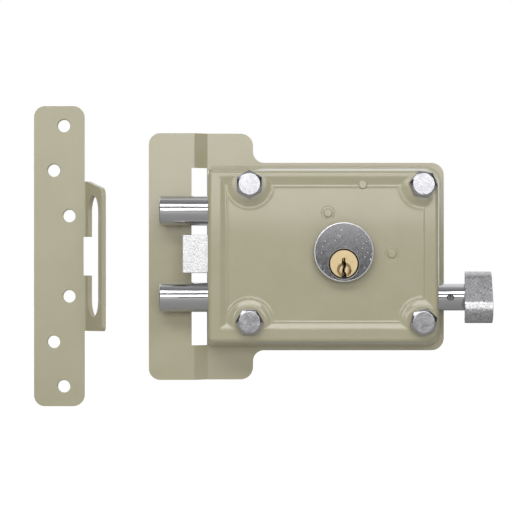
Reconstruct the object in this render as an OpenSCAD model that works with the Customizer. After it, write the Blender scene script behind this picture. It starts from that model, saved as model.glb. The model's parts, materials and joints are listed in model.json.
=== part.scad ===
// Rim lock for the room side of a door, with two round deadbolts, a spring latch
// worked by a pull knob, a key cylinder and a separate strike plate.
// Millimetres. X runs along the bolts (they shoot towards -X), Z is up, the room is
// at -Y. The origin is the centre of the four mounting bolts on the door face.

/* [Mounting bolts] */
// Spacing of the mounting bolts along X
mount_dx = 92; // [84:1:100]
// Height of the mounting bolts above and below the deadbolts
mount_over = 13.2; // [12.4:0.1:17]
// Diameter of the threaded ends of the mounting bolts
thread_d = 7.9; // [6:0.1:8]
// Diameter of the plain shanks inside the case, thinner than the rolled thread
shank_d = 7.2; // [5.4:0.1:7.4]
// Length of the bolt shanks under the head
shank_len = 40; // [35:1:70]
// Hexagon size across its flats
hex_af = 13; // [10:0.5:14]
// Height of the hexagon heads
hex_h = 5.3; // [4:0.1:7]
// Clearance all round the threaded ends in the holes they pass
shank_gap = 0.35; // [0.2:0.05:0.8]

/* [Base plate] */
// Thickness of the base plate
plate_t = 2; // [1.5:0.1:3]
// Width of the base plate behind the case
plate_margin = 1.8; // [1:0.1:5]
// Height of the tall end of the base plate
ear_h = 134; // [118:1:160]
// Width of the tall end, from the flange edge to the ear corner
ear_w = 56.6; // [45:0.2:70]
// Width of the flange beyond the case wall
flange_w = 31.8; // [28:0.2:45]
// How far the flange is set towards the room
flange_jog = 3.5; // [2:0.1:4]
// Width of the sloped step between plate and flange
ramp_w = 7.5; // [5:0.1:10]
// Width of the window for the strike tab
window_w = 8.3; // [6:0.1:12]
// Height of the window for the strike tab
window_h = 96.4; // [86:0.2:98]
// Corner radius of the base plate
plate_r = 6.8; // [3:0.1:10]
// Radius of the inner corners beside the ears
ear_fillet_r = 6; // [3:0.1:8]

/* [Case cover] */
// How far the case reaches over the mounting bolts, above and below
case_over = 12.9; // [12:0.1:18]
// Distance from the left case wall to the left mounting bolts
case_left_inset = 22.9; // [20:0.1:26]
// Distance from the right mounting bolts to the right case wall
case_right_inset = 12.1; // [11.6:0.1:20]
// How far the case centre lies below the mounting centre
case_drop = 1.8; // [0:0.1:4]
// Depth of the cover in front of the plate
case_d = 23; // [22.6:0.1:30]
// Sheet thickness of the cover
cover_t = 1.5; // [1:0.1:2]
// How far the top, bottom and right walls lean in
wall_draft = 3.9; // [2:0.1:5]
// Radius of the rounded front edge
edge_r = 2.6; // [1.5:0.1:4]
// Corner radius of the right corners
corner_r = 8.4; // [5:0.1:12]
// Depth of the sunken front panel
panel_sink = 1.2; // [0.6:0.1:1.4]
// Width of the slope round the sunken panel
panel_slope = 3.4; // [2:0.1:5]
// Distance from the left bolts to the panel edge
panel_left = 12.1; // [9:0.1:14]
// Radius of the raised pads round the bolts at the rim
pad_r = 8.4; // [7.8:0.1:10]

/* [Deadbolts] */
// Diameter of the deadbolts
deadbolt_d = 15.9; // [12:0.1:16]
// Centre distance of the two deadbolts
deadbolt_pitch = 46.4; // [44:0.2:47]
// How far the latch and bolts lie below the mounting centre
bolt_drop = 0.4; // [0:0.1:0.8]
// How far the thrown deadbolts stand out of the case
deadbolt_out = 25.3; // [20:0.1:26]
// Length of a deadbolt
deadbolt_len = 56.2; // [52:0.2:57]
// Chamfer on the end of a deadbolt
deadbolt_chamfer = 0.8; // [0.3:0.1:2]
// Gap between the deadbolts and the flange behind them
flange_gap = 0.45; // [0.3:0.05:1]
// Clearance round a bolt where it slides through the case
slide_gap = 0.3; // [0.15:0.05:0.5]

/* [Bolt carriage] */
// Thickness of the carriage plate
carriage_t = 2.5; // [2:0.1:2.8]
// Gap between the carriage and the base plate
carriage_gap = 0.8; // [0.5:0.1:1]
// Thickness of the lugs that carry the bolts
lug_t = 4.6; // [4:0.1:5.5]
// Diameter of the pins through bolts and lugs
carriage_pin_d = 2.4; // [2:0.1:2.8]
// Module of the rack and pinion
gear_module = 0.8; // [0.7:0.05:0.85]
// Number of pinion teeth
pinion_teeth = 10; // [9:1:11]
// Play between the teeth
tooth_play = 0.16; // [0.1:0.02:0.3]

/* [Latch] */
// Space between the latch and each deadbolt
latch_side = 5.05; // [4.9:0.05:7]
// Thickness of the latch, front to back
latch_d = 14.3; // [11:0.1:14.6]
// How far the latch stands out of the case
latch_out = 12.9; // [8:0.1:14]
// Length of the latch block
latch_len = 41.8; // [38:0.2:43]
// Thickness left at the tip of the slope
latch_nose = 3.2; // [2:0.1:5]
// Thickness of the latch tail plate
tail_t = 2.5; // [2:0.1:2.8]
// Wire diameter of the latch spring
spring_wire = 1; // [0.6:0.1:1.2]
// Outer diameter of the latch spring
spring_d = 8; // [6:0.1:9]
// Number of coils in the latch spring
spring_coils = 8; // [5:1:9]

/* [Pull knob] */
// Length of the grip along the stem
grip_len = 15.9; // [12:0.1:20]
// Long side of the oval grip
grip_long = 29.8; // [24:0.2:32]
// Short side of the oval grip
grip_short = 16; // [14.4:0.2:18]
// How far the grip is turned about the stem
grip_turn = 33; // [0:1:60]
// Edge radius of the grip
grip_edge_r = 1.1; // [0.5:0.1:2]
// Gap between the case and the grip
grip_gap = 10.8; // [9:0.1:16]
// Diameter of the neck behind the grip
neck_d = 14.4; // [11:0.2:14.6]
// Length of the neck inside the case
neck_in = 17.9; // [17:0.1:18.4]
// Diameter of the draw rod
rod_d = 8; // [6:0.1:8.6]
// Diameter of the roll pin
roll_pin_d = 2.6; // [2:0.1:4]

/* [Cylinder] */
// Diameter of the cylinder body inside the case
barrel_d = 28.4; // [27.8:0.1:29]
// How far the cylinder head and the nut stand out over the body
head_rim = 1.7; // [1:0.1:2.2]
// How far the cylinder face stands in front of the panel
head_out = 6.2; // [4:0.1:8]
// Centre of the cylinder right of the mounting centre
cyl_x = 3.8; // [2:0.1:4.6]
// Centre of the cylinder above the mounting centre
cyl_z = 0.6; // [0.4:0.1:0.8]
// How far the plug lies below the cylinder centre
plug_drop = 6.2; // [5.9:0.1:6.4]
// Diameter of the plug
plug_d = 12.7; // [12:0.1:12.9]
// Diameter of the plug's front collar
collar_d = 14.4; // [13.6:0.1:14.6]
// Running clearance round the plug
plug_gap = 0.07; // [0.03:0.01:0.1]
// Pin diameter
pin_d = 2.8; // [2.4:0.1:3]
// Spacing of the pins
pin_pitch = 3.2; // [3:0.05:3.25]
// Number of pins
pin_count = 5; // [4:1:5]

/* [Strike plate] */
// Height of the strike plate
strike_h = 163.6; // [150:0.2:180]
// Width of the strike's flat plate
strike_w = 27.4; // [24:0.2:34]
// Thickness of the strike plate
strike_t = 2.3; // [2:0.1:2.8]
// Distance from the flange edge to the strike plate
strike_away = 36; // [20:0.5:60]
// Corner radius of the strike plate
strike_r = 6; // [3:0.1:9]
// Diameter of the screw holes
screw_hole_d = 6.8; // [4:0.1:8]
// Height of the tab above the plate
tab_len = 28; // [25:0.2:30]
// Width of the tab at its foot
tab_w = 81.4; // [76:0.2:90]
// How far the tab leans away from the plate
tab_lean = 23; // [0:1:25]
// How much the tab's top edge slopes down
tab_slope = 5.2; // [0:0.1:8]
// Clearance round the bolts in the strike
strike_gap = 0.3; // [0.2:0.05:0.5]
// How much lower than the bolts the strike is laid
strike_set_down = 1.2; // [0:0.1:3]

/* [Hidden] */
$fn = 64;

beige = [0.71, 0.69, 0.59];
chrome = [0.82, 0.82, 0.84];
steel = [0.62, 0.63, 0.65];
brass = [0.83, 0.66, 0.36];
touch = 0.01;
guide_t = 7.5;
guide_screw_len = 6;
guide_screw_d = 2.5;
stem_guide_len = 10.8;
stem_guide_in = 3.6;
nut_t = 3.6;
spindle_in = 0.25;

latch_h = deadbolt_pitch - deadbolt_d - 2*latch_side;
mount_dz = deadbolt_pitch + 2*mount_over;
case_h = mount_dz + 2*case_over;
case_x0 = -mount_dx/2 - case_left_inset;
case_x1 = mount_dx/2 + case_right_inset;
case_z0 = -case_drop - case_h/2;
case_z1 = -case_drop + case_h/2;
plate_x1 = case_x1 + plate_margin;
flange_x0 = case_x0 - flange_w;
ear_x1 = flange_x0 + ear_w;
ramp_x1 = case_x0 + 0.2;
ramp_x0 = ramp_x1 - ramp_w;
window_x1 = case_x0 - 0.3;
window_x0 = window_x1 - window_w;
left_lean = 0.9;
rim_y = -plate_t - case_d;
panel_y = rim_y + panel_sink;
inner_y = panel_y + cover_t;

deadbolt_r = deadbolt_d/2;
bolt_y = -flange_jog - plate_t - flange_gap - deadbolt_r;
bolt_z = -bolt_drop;
upper_z = bolt_z + deadbolt_pitch/2;
lower_z = bolt_z - deadbolt_pitch/2;
deadbolt_x0 = case_x0 - deadbolt_out;
deadbolt_x1 = deadbolt_x0 + deadbolt_len;
throw = deadbolt_out - 0.3;

carriage_y1 = -plate_t - carriage_gap;
carriage_y0 = carriage_y1 - carriage_t;
web_x1 = deadbolt_x1 - 2;
web_x0 = web_x1 - 12;
lug_x0 = deadbolt_x1 - 8;
lug_h = 9;
lug_top_y = bolt_y - 1;
pin_y = bolt_y + 2.9;
pitch_r = gear_module*pinion_teeth/2;
plug_z = cyl_z - plug_drop;
rack_z = plug_z - pitch_r;
rack_h = 6.5;

latch_x0 = case_x0 - latch_out;
latch_x1 = latch_x0 + latch_len;
latch_y1 = -flange_jog - plate_t - 0.8;
latch_y0 = latch_y1 - latch_d;
latch_throw = latch_out - 0.3;
tail_y1 = carriage_y0 - 0.6;
tail_y0 = tail_y1 - tail_t;
tail_z0 = plug_z + 3.2;
tail_z1 = bolt_z + latch_h/2 - 1.6;

stem_z = lower_z;
stem_y = bolt_y;
lug_plate_x0 = cyl_x + barrel_d/2 + 4.5;
lug_plate_t = 2.5;
grip_x0 = plate_x1 + grip_gap - plate_margin;
wall_mid_x = case_x1 - wall_draft*(-stem_y - plate_t)/case_d;
neck_x0 = wall_mid_x - neck_in;

head_d = barrel_d + 2*head_rim;
cyl_front_y = panel_y - head_out;
cyl_rear_y = tail_y0 - 1.7;
plug_face_y = cyl_front_y + 0.6;
collar_y = cyl_front_y + 3.5;
first_pin_y = cyl_rear_y - 1.9 - (pin_count - 1)*pin_pitch;
shear_r = plug_d/2 + plug_gap;
bore_gap = 0.1;

post_places = [[14.2, mount_dz/2], [-4.3, 21.3], [29.7, -0.3]];
post_d = 6;
post_end_d = 4;
bump_d = 5.2;
bump_seat = 0.25;

strike_x1 = flange_x0 - strike_away + 0.6;
strike_x0 = strike_x1 - strike_w;
strike_z = bolt_z - strike_set_down;
bend_r = 1.4;

// A box given by its low and high corners
module block(low, high) {
    translate(low) cube(high - low);
}

// Stand an XZ outline up between two depths
module slab(y0, y1) {
    translate([0, y1, 0]) rotate([90, 0, 0]) linear_extrude(y1 - y0) children();
}

// Extrude an XY outline from one height to another
module upright(z0, z1) {
    translate([0, 0, z0]) linear_extrude(z1 - z0) children();
}

// A rod along X, along Y or along Z, from its low end
module rod_x(x0, x1, y, z, d) {
    translate([x0, y, z]) rotate([0, 90, 0]) cylinder(d=d, h=x1 - x0);
}

module rod_y(y0, y1, x, z, d) {
    translate([x, y1, z]) rotate([90, 0, 0]) cylinder(d=d, h=y1 - y0);
}

module rod_z(z0, z1, x, y, d) {
    translate([x, y, z0]) cylinder(d=d, h=z1 - z0);
}

// Rectangle with round corners, radii for left and right corners
module round_rect(x0, x1, z0, z1, rl, rr) {
    union() {
        translate([x0 + rl, z0]) square([x1 - x0 - rl - rr, z1 - z0]);
        translate([x0, z0 + rl]) square([rl, z1 - z0 - 2*rl]);
        translate([x1 - rr, z0 + rr]) square([rr, z1 - z0 - 2*rr]);
        for (z = [z0 + rl, z1 - rl]) translate([x0 + rl, z]) circle(rl);
        for (z = [z0 + rr, z1 - rr]) translate([x1 - rr, z]) circle(rr);
    }
}

// The four mounting bolts' places
module at_mounts() {
    for (x = [-1, 1], z = [-1, 1])
        translate([x*mount_dx/2, 0, z*mount_dz/2]) children();
}

// Outline of the base plate seen from the room
module plate_outline() {
    tall_z0 = -case_drop - ear_h/2;
    tall_z1 = -case_drop + ear_h/2;
    low_z0 = case_z0 - plate_margin;
    low_z1 = case_z1 + plate_margin;
    difference() {
        union() {
            round_rect(flange_x0, ear_x1, tall_z0, tall_z1, plate_r - 0.6, plate_r);
            round_rect(flange_x0 + plate_r, plate_x1, low_z0, low_z1, 1, plate_r);
            translate([ear_x1 - 1, low_z0 - ear_fillet_r])
                square([ear_fillet_r + 1, low_z1 - low_z0 + 2*ear_fillet_r]);
        }
        translate([ear_x1 + ear_fillet_r, low_z0 - ear_fillet_r]) circle(ear_fillet_r);
        translate([ear_x1 + ear_fillet_r, low_z1 + ear_fillet_r]) circle(ear_fillet_r);
    }
}

// Stamped steel plate with the flange set forward and the strike window
module base_plate() {
    color(beige) difference() {
        intersection() {
            slab(-20, 5) plate_outline();
            upright(-ear_h, ear_h) polygon([
                [plate_x1 + 1, 0], [ramp_x1, 0], [ramp_x0, -flange_jog],
                [flange_x0 - 1, -flange_jog], [flange_x0 - 1, -flange_jog - plate_t],
                [ramp_x0 - 0.4, -flange_jog - plate_t], [ramp_x1 - 0.4, -plate_t],
                [plate_x1 + 1, -plate_t]
            ]);
        }
        block([window_x0, -10, -case_drop - window_h/2],
              [window_x1, 5, -case_drop + window_h/2]);
        at_mounts() rod_y(-5, 1, 0, 0, thread_d + 2*shank_gap);
        rod_y(-5, 1, cyl_x, plug_z, 12);
        for (p = post_places) rod_y(-5, 1, p[0], p[1], post_end_d);
    }
}

// Points round a rectangle with round corners at one depth
function ring_points(y, x0, x1, z0, z1, rl, rr, n) =
    let (corners = [
        [x1 - rr, z0 + rr, rr, -90], [x1 - rr, z1 - rr, rr, 0],
        [x0 + rl, z1 - rl, rl, 90], [x0 + rl, z0 + rl, rl, 180]
    ])
    [for (c = corners, i = [0:n])
        let (a = c[3] + 90*i/n)
        [c[0] + c[2]*cos(a), y, c[1] + c[2]*sin(a)]];

// Solid skinned over rings of points that step towards the room
module skinned(rings) {
    m = len(rings[0]);
    last = len(rings) - 1;
    wall = [for (i = [0:last - 1], k = [0:m - 1])
        let (a = i*m + k, b = i*m + (k + 1)%m)
        each [[a, b + m, b], [a, a + m, b + m]]];
    polyhedron([for (r = rings, p = r) p],
               concat(wall, [[for (k = [0:m - 1]) k]],
                      [[for (k = [m - 1:-1:0]) last*m + k]]));
}

// Outer or inner form of the drawn cover, shrunk by a wall thickness
module cover_form(inset, front, back) {
    r = edge_r - inset*0.6;
    a0 = atan(wall_draft/case_d);
    turn_y = front + r*(1 - sin(a0));
    lean = (-plate_t - turn_y)/case_d;
    levels = [for (i = [0:6])
        let (a = a0 + (90 - a0)*i/6)
        [front + r*(1 - sin(a)), lean, r*(cos(a0) - cos(a))]];
    foot = [back, (-plate_t - back)/case_d, 0];
    skinned([for (v = concat([foot], levels))
        ring_points(v[0],
            case_x0 + inset + left_lean*v[1] + v[2],
            case_x1 - inset - wall_draft*v[1] - v[2],
            case_z0 + inset + wall_draft*v[1] + v[2],
            case_z1 - inset - wall_draft*v[1] - v[2],
            r + 0.4 - v[2], corner_r - inset - v[2], 8)]);
}

// The sunken panel as a solid, with the raised pads round the bolts left out
module panel_recess(shift) {
    x0 = -mount_dx/2 - panel_left;
    x1 = mount_dx/2;
    z1 = mount_dz/2;
    front = rim_y + shift;
    difference() {
        skinned([for (v = [[panel_sink, 0, 0.8], [0, 1, 3.4], [-0.6, 1, 3.4]])
            ring_points(front + v[0], x0 - panel_slope*v[1], x1 + panel_slope*v[1],
                        -z1 - panel_slope*v[1], z1 + panel_slope*v[1], v[2], v[2], 4)]);
        at_mounts() translate([0, front + panel_sink, 0]) rotate([90, 0, 0])
            cylinder(r1=pad_r + panel_slope*0.95, r2=pad_r, h=panel_sink);
        at_mounts() rod_y(front - 1.1, front + touch, 0, 0, 2*pad_r);
    }
}

// Drawn and painted cover, open at the back
module cover() {
    stem_hole = neck_d + 2*slide_gap;
    color(beige) difference() {
        cover_form(0, rim_y, -plate_t);
        difference() {
            cover_form(cover_t, rim_y + cover_t, -plate_t + 1);
            panel_recess(cover_t);
        }
        panel_recess(0);
        at_mounts() rod_y(rim_y - 1, rim_y + 6, 0, 0, thread_d + 2*shank_gap);
        for (z = [upper_z, lower_z])
            rod_x(case_x0 - 2, case_x0 + 6, bolt_y, z, deadbolt_d + 2*slide_gap);
        block([case_x0 - 2, latch_y0 - slide_gap, bolt_z - latch_h/2 - slide_gap],
              [case_x0 + 6, latch_y1 + slide_gap, bolt_z + latch_h/2 + slide_gap]);
        rod_x(case_x1 - 10, case_x1 + 2, stem_y, stem_z, stem_hole);
        rod_y(panel_y - 2, inner_y + 1, cyl_x, cyl_z, barrel_d + 0.2);
        for (p = post_places) {
            rod_y(panel_y - 1, inner_y + 1, p[0], p[1], post_end_d);
            rod_y(panel_y - 2, panel_y + bump_seat, p[0], p[1],
                  p[1] < mount_dz/2 - pad_r ? 7.6 : bump_d + 0.2);
        }
    }
}

// Shouldered posts riveted through plate and cover, their heads show as bumps
module case_posts() {
    color(beige) for (p = post_places) {
        rod_y(inner_y, -plate_t, p[0], p[1], post_d);
        rod_y(-plate_t, 0, p[0], p[1], post_end_d);
        rod_y(panel_y, inner_y, p[0], p[1], post_end_d);
        translate([p[0], panel_y + bump_seat, p[1]]) rotate([90, 0, 0])
            cylinder(d1=bump_d, d2=bump_d - 1.2, h=1.05);
    }
}

// One machine bolt, its head chamfered all round on the front
module hex_bolt(turn) {
    rod_y(rim_y, 0, 0, 0, shank_d);
    rod_y(-touch, rim_y + shank_len, 0, 0, thread_d);
    translate([0, rim_y, 0]) rotate([90, 0, 0]) intersection() {
        rotate([0, 0, turn]) cylinder(d=hex_af/cos(30), h=hex_h, $fn=6);
        cylinder(r1=hex_af/2 + hex_h*1.75 - 0.4, r2=hex_af/2 - 0.4, h=hex_h);
    }
}

// Four bolts that hold the lock to the door, each left at its own turn
module hex_bolts() {
    turns = [0, 30, 17.6, 51];
    color(chrome) {
        translate([-mount_dx/2, 0, -mount_dz/2]) hex_bolt(turns[0]);
        translate([-mount_dx/2, 0, mount_dz/2]) hex_bolt(turns[1]);
        translate([mount_dx/2, 0, -mount_dz/2]) hex_bolt(turns[2]);
        translate([mount_dx/2, 0, mount_dz/2]) hex_bolt(turns[3]);
    }
}

guide_x0 = case_x0 + cover_t + left_lean + 0.2;
guide_x1 = guide_x0 + guide_t;
guide_z0 = lower_z - deadbolt_r - 1.4;
guide_z1 = upper_z + deadbolt_r + 1.4;
guide_screw_y0 = -plate_t - guide_screw_len;
guide_screw_z = [bolt_z + latch_h/2 + 2.4, bolt_z - latch_h/2 - 2.4];

// Thick steel block behind the left wall that the bolts and latch slide in
module bolt_guide() {
    color(steel) difference() {
        block([guide_x0, inner_y + 0.3, guide_z0], [guide_x1, -plate_t, guide_z1]);
        for (z = [upper_z, lower_z])
            rod_x(guide_x0 - 1, guide_x1 + 1, bolt_y, z, deadbolt_d + 2*slide_gap);
        block([guide_x0 - 1, latch_y0 - slide_gap, bolt_z - latch_h/2 - slide_gap],
              [guide_x1 + 1, latch_y1 + slide_gap, bolt_z + latch_h/2 + slide_gap]);
        for (z = guide_screw_z)
            rod_y(guide_screw_y0, 1, (guide_x0 + guide_x1)/2, z, guide_screw_d);
    }
}

// Small screws that hold the guide block
module guide_screws() {
    color(steel) for (z = guide_screw_z)
        rod_y(guide_screw_y0, -plate_t - touch, (guide_x0 + guide_x1)/2, z, guide_screw_d);
}

stem_guide_x1 = wall_mid_x - stem_guide_in;
stem_guide_x0 = stem_guide_x1 - stem_guide_len;

// Block inside the right wall that steadies the neck of the knob
module stem_guide() {
    half = neck_d/2 + 1;
    color(steel) difference() {
        block([stem_guide_x0, stem_y - half, stem_z - half],
              [stem_guide_x1, -plate_t, stem_z + half]);
        rod_x(stem_guide_x0 - 1, stem_guide_x1 + 1, stem_y, stem_z, neck_d + 0.12);
    }
}

// One round deadbolt with its slot for the carriage lug and the pin hole
module deadbolt(z) {
    color(chrome) difference() {
        union() {
            translate([deadbolt_x0, bolt_y, z]) rotate([0, 90, 0])
                cylinder(r1=deadbolt_r - deadbolt_chamfer, r2=deadbolt_r, h=deadbolt_chamfer);
            rod_x(deadbolt_x0 + deadbolt_chamfer, deadbolt_x1, bolt_y, z, deadbolt_d);
        }
        block([lug_x0 - 0.05, lug_top_y - 0.1, z - deadbolt_r - 1],
              [lug_x0 + lug_t + 0.05, bolt_y + deadbolt_r + 1, z + deadbolt_r + 1]);
        rod_z(z - deadbolt_r - 1, z + deadbolt_r + 1, lug_x0 + lug_t/2, pin_y,
              carriage_pin_d);
    }
}

module deadbolt_upper() { deadbolt(upper_z); }

module deadbolt_lower() { deadbolt(lower_z); }

// A tooth of the rack, pointing up
module rack_tooth(x) {
    foot = gear_module*(PI/4 + 0.36) - tooth_play/2;
    tip = gear_module*(PI/4 - 0.36) - tooth_play/2;
    polygon([
        [x - foot, rack_z - gear_module*1.25], [x + foot, rack_z - gear_module*1.25],
        [x + tip, rack_z + gear_module], [x - tip, rack_z + gear_module]
    ]);
}

// Plate that joins the bolts, with its rack arm and its guided upper arm
module bolt_carriage() {
    root_z = rack_z - gear_module*1.2;
    tooth_step = PI*gear_module;
    arm_x1 = cyl_x + 3*tooth_step;
    first = -ceil((throw + 6)/tooth_step);
    slot_x0 = post_places[1][0] - throw - post_d/2 - 0.4;
    slot_x1 = post_places[1][0] + post_d/2 + 0.4;
    color(steel) difference() {
        union() {
            slab(carriage_y0, carriage_y1) union() {
                round_rect(web_x0, web_x1, lower_z - 6, upper_z + 5, 2, 2);
                translate([web_x1 - 2, root_z - rack_h])
                    square([arm_x1 - web_x1 + 2, rack_h]);
                for (i = [first:2]) rack_tooth(cyl_x + i*tooth_step);
                round_rect(web_x1 - 4, slot_x1 + 3, post_places[1][1] - 5.5,
                           post_places[1][1] + 5.5, 1, 3);
            }
            for (z = [upper_z, lower_z])
                block([lug_x0, lug_top_y, z - lug_h/2],
                      [lug_x0 + lug_t, carriage_y0 + touch, z + lug_h/2]);
        }
        slab(carriage_y0 - 1, carriage_y1 + 1)
            round_rect(slot_x0, slot_x1, post_places[1][1] - post_d/2 - 0.4,
                       post_places[1][1] + post_d/2 + 0.4, 1, 1);
        for (z = [upper_z, lower_z])
            rod_z(z - deadbolt_r, z + deadbolt_r, lug_x0 + lug_t/2, pin_y, carriage_pin_d);
    }
}

// Pins through each bolt and its lug
module carriage_pins() {
    half = sqrt(pow(deadbolt_r, 2) - pow(pin_y - bolt_y, 2)) - 0.2;
    color(steel) for (z = [upper_z, lower_z])
        rod_z(z - half, z + half, lug_x0 + lug_t/2, pin_y, carriage_pin_d);
}

latch_z0 = bolt_z - latch_h/2;
latch_z1 = bolt_z + latch_h/2;
rebate_x0 = latch_x1 - 8;
latch_rivet_z = [tail_z0 + 2.8, tail_z1 - 2.8];
spring_seat_x = latch_x1;
spring_y = (latch_y0 + tail_y0)/2;

// Latch with the slope at its back, where it meets the strike
module latch_bolt() {
    slope_len = latch_out - 0.4;
    color(chrome) difference() {
        union() {
            upright(latch_z0, latch_z1) polygon([
                [latch_x0 + 0.6, latch_y0], [latch_x1, latch_y0], [latch_x1, latch_y1],
                [latch_x0 + slope_len, latch_y1],
                [latch_x0, latch_y0 + latch_nose], [latch_x0, latch_y0 + 0.6]
            ]);
            rod_x(latch_x1 - 1, latch_x1 + 4, spring_y, bolt_z,
                  spring_d - 2*spring_wire - 0.8);
        }
        block([rebate_x0, tail_y0, latch_z0 - 1], [latch_x1 + 1, latch_y1 + 1, latch_z1 + 1]);
        for (z = latch_rivet_z) rod_y(tail_y0 - 3, latch_y1 + 1, rebate_x0 + 4, z, 2.6);
    }
}

fork_x1 = post_places[2][0] + post_d/2 + 3.4;
leg_x1 = lug_plate_x0 + lug_plate_t;

// Stamped tail of the latch, guided on a post, with a lug for the draw rod
module latch_tail() {
    wide_x0 = cyl_x + 5.2;
    wide_z0 = post_places[2][1] - post_d/2 - 3.6;
    slot_x0 = post_places[2][0] - latch_throw - post_d/2 - 0.4;
    slot_x1 = post_places[2][0] + post_d/2 + 0.4;
    leg_z0 = stem_z - rod_d/2 - 2.6;
    color(steel) difference() {
        union() {
            slab(tail_y0, tail_y1) difference() {
                union() {
                    translate([rebate_x0, tail_z0])
                        square([fork_x1 - rebate_x0, tail_z1 - tail_z0]);
                    translate([wide_x0, wide_z0])
                        square([fork_x1 - wide_x0, tail_z1 - wide_z0]);
                    translate([lug_plate_x0 - 3, leg_z0])
                        square([leg_x1 - lug_plate_x0 + 3, wide_z0 - leg_z0 + 1]);
                }
                translate([slot_x0, post_places[2][1] - post_d/2 - 0.4])
                    square([slot_x1 - slot_x0, post_d + 0.8]);
            }
            block([lug_plate_x0, stem_y - rod_d/2 - 2.6, leg_z0],
                  [leg_x1, tail_y0 + touch, stem_z + rod_d/2 + 2.6]);
        }
        for (z = latch_rivet_z) rod_y(tail_y0 - 1, tail_y1 + 1, rebate_x0 + 4, z, 2.6);
        rod_x(lug_plate_x0 - 1, leg_x1 + 1, stem_y, stem_z, rod_d + 0.6);
    }
}

// Rivets that hold the tail to the latch
module latch_rivets() {
    color(steel) for (z = latch_rivet_z) rod_y(tail_y0 - 3, tail_y1, rebate_x0 + 4, z, 2.6);
}

bracket_x1 = cyl_x - barrel_d/2 - 3;
bracket_t = 1.6;
spring_x1 = bracket_x1 - bracket_t;

// Points of the ring of wire at one step of the coil
function coil_ring(i, steps, sides) =
    let (
        turn = 360*spring_coils*i/steps,
        travel = spring_x1 - spring_seat_x - spring_wire - 0.2,
        x = spring_seat_x + spring_wire/2 + 0.1 + travel*i/steps,
        r = (spring_d - spring_wire)/2
    )
    [for (k = [0:sides - 1])
        let (a = 360*k/sides, rr = r + spring_wire/2*cos(a))
        [x + spring_wire/2*sin(a), spring_y + rr*cos(turn), bolt_z + rr*sin(turn)]];

// Compression spring that drives the latch out
module latch_spring() {
    sides = 6;
    steps = spring_coils*8;
    points = [for (i = [0:steps], p = coil_ring(i, steps, sides)) p];
    wall = [for (i = [0:steps - 1], k = [0:sides - 1])
        let (a = i*sides + k, b = i*sides + (k + 1)%sides)
        each [[a, b, b + sides], [a, b + sides, a + sides]]];
    ends = [for (k = [1:sides - 2])
        each [[0, k + 1, k], [steps*sides, steps*sides + k, steps*sides + k + 1]]];
    color(steel) polyhedron(points, concat(wall, ends));
}

// Bent bracket on the cover that the latch spring pushes against
module spring_bracket() {
    color(steel) {
        block([spring_x1, inner_y, bolt_z - 6], [bracket_x1, tail_y0 - 0.6, bolt_z + 6]);
        block([spring_x1 - 7, inner_y, bolt_z - 6], [spring_x1 + touch, inner_y + 1.6, bolt_z + 6]);
    }
}

// Cast knob: an oval grip on a round neck
module pull_knob() {
    r = grip_edge_r;
    reach = (grip_long - grip_short)/2;
    color(chrome) difference() {
        union() {
            translate([0, stem_y, stem_z]) rotate([-grip_turn, 0, 0]) hull()
                for (x = [grip_x0 + r, grip_x0 + grip_len - r], z = [-reach, reach])
                    translate([x, 0, z]) rotate([0, 90, 0]) rotate_extrude($fn=48)
                        translate([grip_short/2 - r, 0]) circle(r, $fn=12);
            rod_x(neck_x0, grip_x0 + 1, stem_y, stem_z, neck_d);
        }
        rod_x(neck_x0 - 1, grip_x0 - 3, stem_y, stem_z, rod_d);
        rod_y(stem_y - neck_d, stem_y + neck_d, roll_pin_x, stem_z, roll_pin_d);
    }
}

collar_len = 3.6;
roll_pin_x = (case_x1 + grip_x0)/2 - 2.4;

// Steel rod that pulls the latch tail, with a collar at its inner end
module draw_rod() {
    color(steel) difference() {
        union() {
            rod_x(lug_plate_x0 - 0.3 - collar_len, lug_plate_x0 - 0.3, stem_y, stem_z,
                  rod_d + 2.4);
            rod_x(lug_plate_x0 - 0.3 - touch, grip_x0 - 3.2, stem_y, stem_z, rod_d);
        }
        rod_y(stem_y - neck_d, stem_y + neck_d, roll_pin_x, stem_z, roll_pin_d);
    }
}

// Split roll pin through the neck and the rod
module roll_pin() {
    half = neck_d/2 - 0.15;
    color(steel) difference() {
        rod_y(stem_y - half, stem_y + half, roll_pin_x, stem_z, roll_pin_d);
        rod_y(stem_y - half - 1, stem_y + half + 1, roll_pin_x, stem_z, roll_pin_d - 1.2);
        block([roll_pin_x - 0.2, stem_y - half - 1, stem_z],
              [roll_pin_x + 0.2, stem_y + half + 1, stem_z + roll_pin_d]);
    }
}

cap_w = 3.8;
cap_z0 = cyl_z + barrel_d/2 - 1.7;
cap_z1 = cap_z0 + 1.1;

// Places of the pins along the cylinder
module at_pins() {
    for (i = [0:pin_count - 1]) translate([cyl_x, first_pin_y + i*pin_pitch, 0]) children();
}

// Nickelled cylinder with its head outside the cover and its pin bores
module cylinder_body() {
    bevel = 1.5;
    color(chrome) difference() {
        union() {
            rod_y(cyl_front_y + bevel, panel_y, cyl_x, cyl_z, head_d);
            translate([cyl_x, cyl_front_y + bevel, cyl_z]) rotate([90, 0, 0])
                cylinder(r1=head_d/2, r2=head_d/2 - bevel*0.8, h=bevel);
            rod_y(panel_y - touch, cyl_rear_y, cyl_x, cyl_z, barrel_d);
        }
        rod_y(cyl_front_y - 1, cyl_front_y + 1, cyl_x, plug_z, collar_d + 1.4);
        rod_y(cyl_front_y - 1, collar_y + 0.05, cyl_x, plug_z, collar_d + 2*plug_gap);
        rod_y(cyl_front_y, cyl_rear_y + 1, cyl_x, plug_z, plug_d + 2*plug_gap);
        at_pins() rod_z(plug_z, cap_z0 + touch, 0, 0, pin_d + 2*bore_gap);
        block([cyl_x - cap_w/2, first_pin_y - 2, cap_z0],
              [cyl_x + cap_w/2, cyl_rear_y + 1, cap_z1]);
    }
}

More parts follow.
